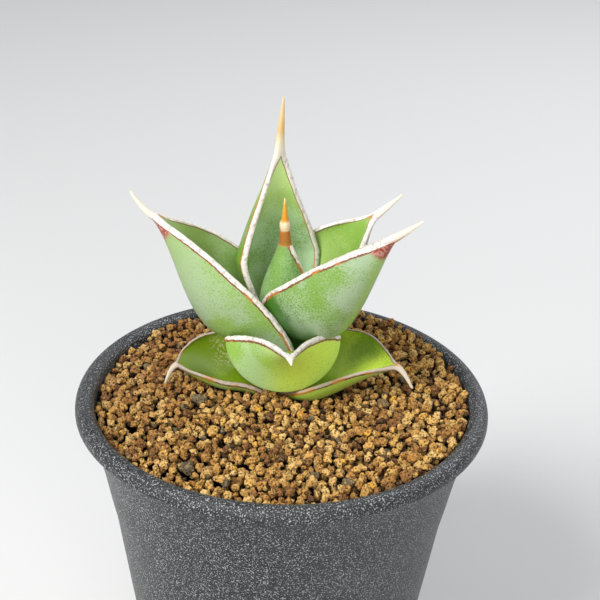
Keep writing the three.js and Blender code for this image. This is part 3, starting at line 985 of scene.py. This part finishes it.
LOOKS = {
    "leaf_low_right": look(0.25, "b2cc78", "a4c24a", "6c8e18", "86a814", "b8d03c", base=0.1, rust=0.45,
                           dry="a89b88", cord=0.2, horn=DULL_HORN),
    "leaf_low_left": look(0.25, "a6bf70", "9ab648", "4c6408", "647f02", "809c08", base=0.1, rust=0.5,
                          dry="a89b88", cord=0.2, horn=DULL_HORN, scar=1.0),
    "leaf_front": look(0.55, "a4c484", "8cb44c", "5d8a20", "6d9822", "8fb43a", base=0.1, rim=0.3,
                       rust=-0.4, glow=1.0, line=1.0),
    "leaf_back_right": look(0.2, "93ad74", "6f9638", "48692a", "7ba03c", "94b35c", base=0.2, patch=0.6),
    "leaf_left": look(0.5, "9ab088", "86a850", "4c5a28", "7c9c50", "9ab47c", base=0.1, patch=1.0,
                      tip="86a24e"),
    "leaf_right": look(0.5, "9db28e", "789e44", "2c660a", "6d943c", "93ae6a", base=0.5, patch=1.0),
    "leaf_back": look(0.1, "93ad7c", "6d9232", "456a1e", "7ba052", "a8c598", base=0.2, rust=0.75,
                      horn=GOLD_HORN, tip="d2ee88"),
    "leaf_spear": look(0.3, "93b07e", "6f9648", "4a6e2c", "66884a", "6f9648", base=0.4, rust=0.95,
                       rim=0.1, horn=FLAKED_HORN),
}
print("bloom by leaf:", {name: colors["bloom"] for name, colors in LOOKS.items()})


# %% Green of a leaf
def outer_green(paint, colors, traits, cloud, speck):
    """Bloom in clouds and specks over fresh green, deep green at the foot and in fine dots, and painted light
    on the lit side of one leaf.
    """
    off, _, reach, across = traits
    rubbed = off.step(7.0, 0.5) * reach.step(0.75, 0.45)
    bloom = (cloud - 0.5) * 2.4 + (speck - 0.5) * 1.5 + colors["bloom"] - rubbed * 0.3
    color = paint.blend(bloom.step(0.05, 0.6), colors["fresh"], colors["pale"])
    rim = across.size().step(3.2, 0.4) * reach.step(0.2, 0.5)
    color = paint.blend(rim * colors["rim"], color, RIM_GREEN)
    # Painted light: pale yellow-green over the leaf's lit side and middle, from a fifth of the way up
    if colors["glow"]:
        lit = across.step(-9.0, 3.0) * reach.step(0.2, 0.6) * colors["glow"]
        color = paint.blend(lit, color, PAINTED_LIGHT_GREEN)
    low = (reach + (cloud - 0.5) * 0.5 + (speck - 0.5) * 0.25).step(colors["base"], colors["base"] - 0.16)
    color = paint.blend(low * 0.85, color, colors["deep"])
    color = paint.blend(speck.step(0.42, 0.34) * 0.35, color, colors["deep"])
    if colors["tip"]:
        color = paint.blend(reach.step(0.6, 0.95) * 0.6, color, colors["tip"])
    return color


def inner_green(paint, colors, traits, cloud, speck):
    """Streaks of two greens, deep green at the foot, and on one leaf a worn, corky spot."""
    _, _, reach, across = traits
    streak = (cloud + 0.6 * (speck - 0.5)).step(0.4, 0.62)
    face = paint.blend(streak, colors["face"], colors["face_pale"])
    face = paint.blend(reach.step(0.5, 0.2) * 0.6, face, colors["deep"])
    if colors["tip"]:
        face = paint.blend(reach.step(0.5, 0.9) * 0.7, face, colors["tip"])
    if colors["scar"]:
        patch = reach.step(0.25, 0.4) * reach.step(0.72, 0.55) * across.step(1.0, -3.0)
        face = paint.blend(patch * paint.grain(1.3, detail=4.0).step(0.5, 0.58) * 0.75, face, SCAR)
    return face


print("leaves with a tip of their own:", [name for name, colors in LOOKS.items() if colors["tip"]])


# %% Dry margin and spine
def margin_edge(colors, traits, ragged, slow):
    """Distance in millimetres from the ragged edge of the dry margin, below nought on it."""
    off, inside, reach, _ = traits
    width = colors["cord"] + 0.45 * reach.step(0.75, 0.98) - inside * (0.4 - 0.6 * reach.step(0.88, 1.0))
    return off + (ragged - 0.5) * 0.7 * (1.0 - inside) + (slow - 0.5) * 0.6 - width


def red_line(paint, colors, traits, edge, ragged, slow, rusty, color):
    """The red-brown line under the margin, the flush below the spine and its tan foot."""
    _, inside, reach, _ = traits
    outer = 1.0 - inside
    wide = 0.08 + 0.5 * slow * outer + 0.06 * inside
    if colors["line"]:
        wide = wide + (0.12 + reach.step(0.75, 1.0) * 0.35) * outer * colors["line"]
    line = (edge - wide).step(0.26, -0.02)
    color = paint.blend(line * 0.92, color, paint.blend(rusty, RED_BROWN, RUST))
    patch = (reach + (ragged - 0.5) * 0.05).step(0.9, 0.925) * outer * colors["patch"]
    color = paint.blend(patch, color, paint.blend(ragged.step(0.42, 0.6), PATCH_RED, PATCH_PINK))
    return paint.blend(reach.step(1.02, 1.22), color, HORN_TAN)


def dry_color(paint, colors, reach, edge, ragged, rusty):
    """Whitish cord with grey and dark flecks, rusty in stretches, turning to horn on the spine."""
    cord = paint.blend(paint.grain(0.9, detail=4.0).step(0.48, 0.66) * 0.65, colors["dry"], DRY_GREY)
    cord = paint.blend(paint.grain(3.2, detail=2.0).step(0.68, 0.74) * 0.7, cord, DRY_FLECK)
    cord = paint.blend(rusty * (edge + 0.35).step(-0.1, 0.2) * 0.8, cord, RUST)
    horn = paint.ramp(reach - 1.0 + (ragged - 0.5) * 0.1, colors["horn"])
    return paint.blend(reach.step(*colors["horn_begins"]), cord, horn)


print("horn begins at:", {name: colors["horn_begins"][0] for name, colors in LOOKS.items()})


# %% Finish the leaves
def leaf_finish(leaf):
    colors = LOOKS[leaf["name"]]
    paint = Paint(leaf["name"] + "_finish")
    traits = [paint.attribute(name) for name in MEMORIES]
    _, inside, reach, _ = traits
    cloud = paint.grain(0.075, detail=2.0)
    speck = paint.grain(2.3, detail=2.0, roughness=0.6)
    ragged = paint.grain(1.2, detail=3.0)
    slow = paint.grain(0.17, detail=1.0)
    green = [make(paint, colors, traits, cloud, speck) for make in (outer_green, inner_green)]
    edge = margin_edge(colors, traits, ragged, slow)
    rusty = (slow + (colors["rust"] - reach).step(-0.1, 0.1) * 0.2).step(0.58, 0.66)
    color = red_line(paint, colors, traits, edge, ragged, slow, rusty, paint.blend(inside, *green))
    dry = edge.step(0.05, -0.05)
    horned = dry.most(reach.step(*colors["all_horn"]))
    return paint.finish(
        Base_Color=paint.blend(horned, color, dry_color(paint, colors, reach, edge, ragged, rusty)),
        Roughness=0.46 + 0.34 * dry,
        Normal=paint.bump(speck * 0.35 * (1.0 - dry) + ragged * dry, 0.09),
    )


for leaf in LEAVES:
    leaf_skins[leaf["name"]].data.materials.append(leaf_finish(leaf))
print("finished:", ", ".join(leaf["name"] for leaf in LEAVES))

# %% [markdown]
# ## The granules
#
# The pot is topped with broken and rounded grains of baked clay of mixed browns, mostly two and at
# the most three and a half millimetres across. A particle system would scatter them in one click,
# but its copies overlap and are lost on export. Here each grain is dropped onto a height map of what
# lies below it, at the lowest of several random places, so that the heap packs and settles like a
# real one. The map is a plain grid of heights; a grain is a ball while it falls.

# %% Surface of the heap
SOIL_LEVEL = 0.5
SOIL_SLOPE_X = 0.03
SOIL_SLOPE_Y = 0.012
SOIL_BACK_START = 8
SOIL_BACK_LENGTH = 36
SOIL_BACK_RISE = 2.4
MOUND_RISE = 1.4
MOUND_REACH = 20
MOUND_PLACE = (1, 11)


def inner_wall(height):
    """Radius of the pot's inside at a height above the middle of the lip."""
    wall = np.array(WALL_OUTSIDE)
    below = np.interp(-height, wall[::-1, 1], wall[::-1, 0]) - WALL
    lip = LIP_RADIUS - LIP_HALF_WIDTH * math.sqrt(max(0.0, 1 - (height / LIP_HALF_HEIGHT) ** 2))
    return min(below, lip) if height < 2 else lip


def soil_level(x, y):
    """Height of the heap above the middle of the lip. It rises to the back and to the plant."""
    near = np.hypot(x - MOUND_PLACE[0], y - MOUND_PLACE[1]) / MOUND_REACH
    back = np.clip((y - SOIL_BACK_START) / SOIL_BACK_LENGTH, 0, 1)
    rise = SOIL_BACK_RISE * back ** 2 * (3 - 2 * back) + MOUND_RISE * np.exp(-near ** 2)
    return SOIL_LEVEL + SOIL_SLOPE_X * x + SOIL_SLOPE_Y * y + rise


print("heap in front, at the plant, behind:", [round(float(soil_level(0, y)), 2) for y in (-45, 11, 45)])


# %% Where the plant is in the way
def plant_surface():
    """All leaves and the stem as one tree of triangles, in millimetres from the lip's middle."""
    points, faces = [], []
    for piece in [*leaf_skins.values(), bpy.data.objects["rootstock"]]:
        start = len(points)
        points += [vertex.co / MM - Vector((0, 0, LIP_Z)) for vertex in piece.data.vertices]
        faces += [[start + k for k in face.vertices] for face in piece.data.polygons]
    return BVHTree.FromPolygons(points, faces)


def inside_plant(plant, centre, radius):
    near, normal, _, distance = plant.find_nearest(centre, 12.0)
    if near is None:
        return False
    return distance < radius or (centre - near).dot(normal) < 0


plant = plant_surface()
print("from the pot's middle to the plant:", round(plant.find_nearest(Vector((0, 0, 0)))[3], 1), "mm")

# %% Size of the grains
GRAIN_RADIUS = 1.0
GRAIN_SPREAD = 0.27
GRAIN_LEAST = 0.65
GRAIN_MOST = 1.8
BED_DROP = 2.6
HEAP_RISE = 1.0
HEAP_SEED = 7
MAP_CELL = 0.25
MAP_HALF = 52.0
PLACES_TRIED = 14
GRAINS_AT_MOST = 3800
MISSES_AT_MOST = 60
print("height map of", int(2 * MAP_HALF / MAP_CELL), "cells to a side")


# %% One falling grain
def footprint(radius):
    """A ball on the map: its half width in cells, square distances and height over its middle."""
    reach = int(radius / MAP_CELL) + 1
    offset = np.arange(-reach, reach + 1) * MAP_CELL
    flat = offset[:, None] ** 2 + offset[None] ** 2
    return reach, flat, np.sqrt(np.clip(radius ** 2 - flat, 0, None))


def cells_near(ground, place, reach):
    i, j = (int((v + MAP_HALF) / MAP_CELL) for v in place)
    return ground[i - reach:i + reach + 1, j - reach:j + reach + 1]


def lowest_place(rng, ground, radius):
    """Of several random places, the one where the ball comes to rest lowest in the heap."""
    reach, flat, dome = footprint(radius)
    core = flat < (0.92 * radius) ** 2
    turns = rng.random(PLACES_TRIED) * 2 * math.pi
    reaches = np.sqrt(rng.random(PLACES_TRIED)) * (LIP_RADIUS - LIP_HALF_WIDTH - 0.7 * radius)
    best = None
    for turn, out in zip(turns, reaches):
        x, y = out * math.cos(turn), out * math.sin(turn)
        z = (cells_near(ground, (x, y), reach) + dome)[core].max()
        over = z - soil_level(x, y)
        if best is None or over < best[0]:
            best = (over, x, y, z)
    return best


def blocked(plant, over, x, y, z, radius):
    """Too high, through the pot or in the plant."""
    return (
        over > HEAP_RISE - 0.5 * radius
        or math.hypot(x, y) > inner_wall(z) - 0.8 * radius
        or inside_plant(plant, Vector((x, y, z)), 0.85 * radius)
    )


print("a grain of 1 mm covers", int((footprint(1.0)[1] < 1.0).sum()), "cells of the map")


# %% Drop the grains
def drop_grains(plant):
    """Centres and radii of the grains in the order in which they fell."""
    rng = np.random.default_rng(HEAP_SEED)
    cells = int(2 * MAP_HALF / MAP_CELL)
    ground = np.full((cells, cells), -BED_DROP - 0.6)
    grains = []
    misses = 0
    while len(grains) < GRAINS_AT_MOST and misses < MISSES_AT_MOST:
        radius = GRAIN_RADIUS * math.exp(rng.normal() * GRAIN_SPREAD)
        radius = float(np.clip(radius, GRAIN_LEAST, GRAIN_MOST))
        over, x, y, z = lowest_place(rng, ground, radius)
        if blocked(plant, over, x, y, z, radius):
            misses += 1
            patch = cells_near(ground, (x, y), 1)
            np.maximum(patch, soil_level(x, y) + 0.3, out=patch)
            continue
        misses = 0
        reach, flat, dome = footprint(radius)
        patch = cells_near(ground, (x, y), reach)
        np.maximum(patch, np.where(flat < radius ** 2, z + 0.9 * dome, -99), out=patch)
        grains.append((x, y, z, radius))
    return np.array(grains)


grains = drop_grains(plant)
least, most = grains[:, 3].min().round(2), grains[:, 3].max().round(2)
print(len(grains), "grains, from", least, "to", most, "mm in radius")

# %% [markdown]
# A grain is a lump that broke off a bigger one: a ball with a few flat faces knocked on it, then
# worn round and pitted. Two dozen lumps are made for each piece, from a cube blown up to a ball.
# Each grain takes one of them, squeezed and turned at random, so no two look alike.

# %% A ball of even quads
def cube_ball(steps):
    """Unit vectors and quads of a cube blown up to a ball."""
    share = np.tan(np.linspace(-1, 1, steps + 1) * math.pi / 4)
    points, quads, index = [], [], {}

    def corner(point):
        key = tuple(np.round(point, 6))
        if key not in index:
            index[key] = len(points)
            points.append(np.array(point) / np.linalg.norm(point))
        return index[key]

    for axis in range(3):
        for sign in (-1, 1):
            for i in range(steps):
                for j in range(steps):
                    quad = []
                    for a, b in ((i, j), (i + 1, j), (i + 1, j + 1), (i, j + 1)):
                        point = np.roll([sign, share[a] * sign, share[b]], axis)
                        quad.append(corner(point))
                    quads.append(quad)
    return np.array(points), np.array(quads)


print("a ball of 5 steps has", len(cube_ball(5)[0]), "points")

# %% One lump of clay
LUMP_KINDS = 24
FACETS = 9
FACET_DEPTH = (0.6, 0.95)
# Depth and waves to the radius of the broad dents and of the pits
DENTS = (0.3, 2.1)
PITS = (0.3, 5.0)


def lump(ball, rng, seed):
    """One worn, broken grain as radii along the ball's directions."""
    reach = np.full(len(ball), 1.12)
    for _ in range(FACETS):
        normal = rng.normal(size=3)
        normal /= np.linalg.norm(normal)
        away = rng.uniform(*FACET_DEPTH)
        facing = ball @ normal
        plane = np.where(facing > 0.2, away / np.maximum(facing, 0.2), 9.0)
        reach = np.minimum(reach, plane)
    rough = np.array([noise.noise(Vector(point * DENTS[1]) + Vector((seed, 0, 0))) for point in ball])
    pits = np.array([noise.noise(Vector(point * PITS[1]) + Vector((0, seed, 0))) for point in ball])
    return ball * (reach * (1 + DENTS[0] * rough + PITS[0] * pits))[:, None]


def random_turn(rng):
    """A turn in space that is as likely as any other."""
    a, b, c, d = rng.normal(size=4)
    size = a * a + b * b + c * c + d * d
    a, b, c, d = (v / math.sqrt(size) for v in (a, b, c, d))
    return np.array([
        [1 - 2 * (c * c + d * d), 2 * (b * c - a * d), 2 * (b * d + a * c)],
        [2 * (b * c + a * d), 1 - 2 * (b * b + d * d), 2 * (c * d - a * b)],
        [2 * (b * d - a * c), 2 * (c * d + a * b), 1 - 2 * (b * b + c * c)],
    ])


sample = lump(cube_ball(5)[0], np.random.default_rng(0), 0.0)
print("a lump of radius 1 spans", np.ptp(sample, axis=0).round(2))

# %% Grains in one mesh
SQUEEZE = 0.1
GRAIN_SHARP = 30
# Where the grains turn redder and darker towards the back left: red clay and painted shade
RED_AND_SHADE_START = 8
RED_AND_SHADE_LENGTH = 45
SPOTS = ((-45, 0), (0, 0), (0, -45))


def redness_and_shade(x, y):
    return np.clip((y - x - RED_AND_SHADE_START) / RED_AND_SHADE_LENGTH, 0, 1)


def make_grains(name, chosen, steps, rng):
    """All chosen grains as one piece. tone, kind and rust are one number for each grain."""
    ball, quads = cube_ball(steps)
    lumps = [lump(ball, rng, 3.7 * k) for k in range(LUMP_KINDS)]
    points, faces, numbers = [], [], []
    for count, (x, y, z, radius) in enumerate(chosen):
        squeeze = np.exp(rng.normal(size=3) * SQUEEZE)
        shape = lumps[rng.integers(LUMP_KINDS)] * squeeze @ random_turn(rng).T
        points.append(shape * radius + [x, y, z + LIP_Z])
        faces.append(quads + count * len(ball))
        # The third number, rust, is red clay and painted shade towards the back left
        numbers.append([rng.random(), rng.random(), redness_and_shade(x, y) * rng.uniform(0.35, 1)])
    points = np.vstack(points)
    piece = make_piece(name, points, np.vstack(faces).tolist(), ["soil"])
    # Depth below the heap's surface, for the painted shade between the grains
    store(piece, "depth", soil_level(points[:, 0], points[:, 1]) + LIP_Z - points[:, 2])
    for key, values in zip(("tone", "kind", "rust"), np.transpose(numbers)):
        store(piece, key, np.repeat(values, len(ball)))
    piece.data.set_sharp_from_angle(angle=math.radians(GRAIN_SHARP))
    return piece


print("redness at the left, in the middle and in front:", [float(redness_and_shade(*at).round(2)) for at in SPOTS])

# %% Make the grains
TOP_LAYER = 0.9
rng = np.random.default_rng(HEAP_SEED + 1)
height = grains[:, 2] - soil_level(grains[:, 0], grains[:, 1])
on_top = height > -TOP_LAYER
front = grains[:, 1] < 2
left = grains[:, 0] < 0
grain_pieces = [
    make_grains("granules_front_left", grains[on_top & front & left], 5, rng),
    make_grains("granules_front_right", grains[on_top & front & ~left], 5, rng),
    make_grains("granules_back_left", grains[on_top & ~front & left], 5, rng),
    make_grains("granules_back_right", grains[on_top & ~front & ~left], 5, rng),
    make_grains("granules_under", grains[~on_top], 3, rng),
]
print({piece.name: triangles(piece) for piece in grain_pieces})

# %% [markdown]
# Below the loose grains the pot is full. The plain soil solid, cut off under the lowest grains and
# capped, fills it and keeps light from shining through the gaps.


# %% Bed under the grains
def make_bed():
    form = bmesh.new()
    form.from_mesh(bpy.data.objects["soil"].data)
    everything = [*form.verts, *form.edges, *form.faces]
    cut = (0, 0, (LIP_Z - BED_DROP) * MM)
    sliced = bmesh.ops.bisect_plane(form, geom=everything, plane_co=cut, plane_no=(0, 0, 1), clear_outer=True)
    rim = [item for item in sliced["geom_cut"] if isinstance(item, bmesh.types.BMEdge)]
    bmesh.ops.triangle_fill(form, edges=rim, use_beauty=True, normal=(0, 0, 1))
    bed = make_piece("granule_bed", [], [], ["soil"])
    form.to_mesh(bed.data)
    form.free()
    return bed


bed = make_bed()
print("bed:", triangles(bed), "triangles")

# %% [markdown]
# ## Granule finish
#
# Baked clay is porous and matt: ochre and tan, a few grains yellow, grey or nearly black, those at
# the back left redder and darker, the darkening there painted shade. Every grain carries three
# numbers of its own, and pores cut pits into it that are painted dark as shade. A fourth number,
# the depth below the heap's surface, darkens the grains in the gaps as painted shade. What lies
# under the grains is painted nearly black as shade, and the plant's stem and roots have a pale dry skin.

# %% Clay colours
CLAY_STOPS = [
    (0.0, tint("4c2f10")), (0.06, tint("855626")), (0.28, tint("b9843b")), (0.62, tint("dba956")),
    (0.93, tint("eac277")), (1.0, tint("ebae34")),
]
# Painted shade in the pores and between the deeper grains
CLAY_PAINTED_SHADE = tint("1e1007")
# Painted shade in the hollows of the grains' bump
CLAY_HOLLOW_SHADE = tint("6e4824")
# Red clay, darker as painted shade towards the back left
CLAY_RED_AND_SHADE = tint("6c3414")
CLAY_GREY = tint("75694c")
# Dust and painted highlight on the tops of the grains' bump
CLAY_DUST_AND_HIGHLIGHT = tint("e6c689")
GREY_FROM = 0.975
print("one grain in", round(1 / (1 - GREY_FROM)), "is grey")


# %% Clay finish
def clay_finish():
    """Tone, a red that is partly painted shade, and grey by grain, then painted shade in the hollows, dust
    and painted highlights on the tops, and painted shade in the pores and the depths.
    """
    paint = Paint("baked_clay")
    color = paint.ramp(paint.attribute("tone"), CLAY_STOPS)
    # Redder and darker towards the back left: partly red clay, partly painted shade
    color = paint.blend(paint.attribute("rust") * 0.6, color, CLAY_RED_AND_SHADE)
    color = paint.blend((paint.attribute("kind") - GREY_FROM).step(0.0, 0.01), color, CLAY_GREY)
    fine = paint.grain(1.5, detail=4.0, roughness=0.68)
    pores = paint.cells(1.35).step(0.14, 0.46)
    # Painted shade: darker brown in the hollows of the fine bump
    color = paint.blend(fine.step(0.52, 0.32) * 0.8, color, CLAY_HOLLOW_SHADE)
    # Dust and painted highlight: paler on the tops of the fine bump
    color = paint.blend(fine.step(0.54, 0.7) * 0.7, color, CLAY_DUST_AND_HIGHLIGHT)
    # Painted shade in the pores
    color = paint.blend((1.0 - pores) * 0.85, color, CLAY_PAINTED_SHADE)
    # Painted shade: darker the deeper a point lies below the heap's surface
    color = paint.blend(paint.attribute("depth").step(0.0, 2.0) * 0.85, color, CLAY_PAINTED_SHADE)
    return paint.finish(
        Base_Color=color,
        Roughness=0.88,
        Normal=paint.bump(fine * 0.7 + pores * 0.3, 1.0),
    )


clay = clay_finish()
for piece in grain_pieces:
    piece.data.materials.append(clay)
print(clay.name, "on", len(grain_pieces), "pieces")


# %% Bed and stem finish
def bed_finish():
    paint = Paint("clay_in_shade")
    # Painted shade: nearly black browns, so the gaps between the grains look deep
    color = paint.blend(paint.grain(0.6, detail=3.0).step(0.4, 0.7), tint("150c06"), tint("2e1c0f"))
    return paint.finish(Base_Color=color, Roughness=0.95)


def stem_finish():
    paint = Paint("stem_and_roots")
    color = paint.blend(paint.grain(0.4, detail=4.0).step(0.4, 0.6), tint("8f7a52"), tint("b9a47c"))
    return paint.finish(Base_Color=color, Roughness=0.8, Normal=paint.bump(paint.grain(0.8, detail=3.0), 0.3))


bed.data.materials.append(bed_finish())
stem = bpy.data.objects["rootstock"]
stem.data.materials.clear()
stem.data.materials.append(stem_finish())
print("below the grains:", bed.data.materials[0].name, "and", stem.data.materials[0].name)

# %% [markdown]
